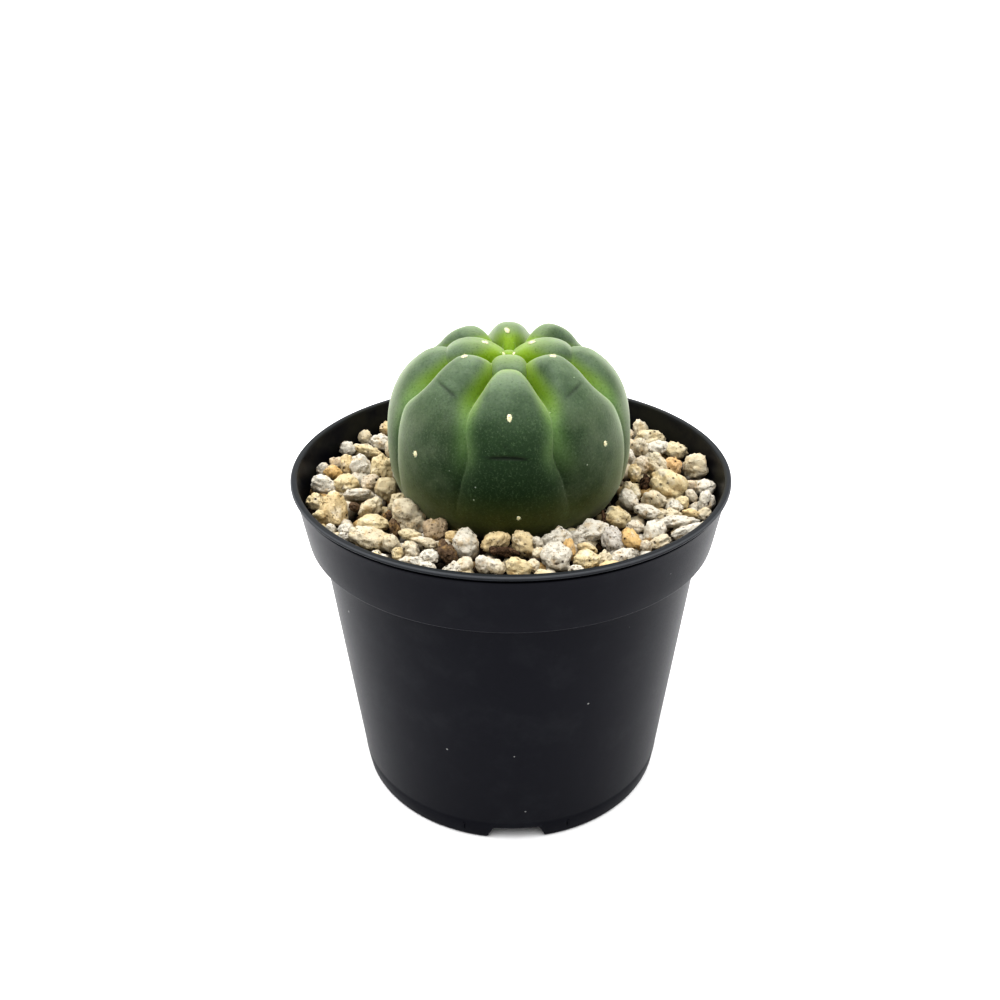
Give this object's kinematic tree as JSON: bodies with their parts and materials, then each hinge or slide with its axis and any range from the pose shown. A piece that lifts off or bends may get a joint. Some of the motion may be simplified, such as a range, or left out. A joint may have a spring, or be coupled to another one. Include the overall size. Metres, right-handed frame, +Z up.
{
  "type": "potted chin cactus",
  "caption": "Ribbed globe cactus with small woolly areoles, standing in a round tapered nursery pot topped with pumice granules.",
  "frame": {"origin": "middle of the pot's foot on the surface that it stands on", "axes": "+Z up along the pot's axis; -Y towards the front rib of the plant"},
  "size_m": [0.1, 0.1, 0.11],
  "materials": {
    "pot": "near-black moulded polypropylene with a soft satin sheen and a few dust specks",
    "potting_mix": "dark brown, crumbly mix of composted bark and peat",
    "top_dressing": "rough, pitted pumice granules in cream, beige and ochre",
    "cactus": "living skin, grey-green with a waxy bloom, yellow-green in the grooves of the crown"
  },
  "bodies": {
    "root": {"pot": "pot", "potting_mix": "potting_mix", "top_dressing": "top_dressing", "cactus": "cactus"}
  },
  "joints": []
}
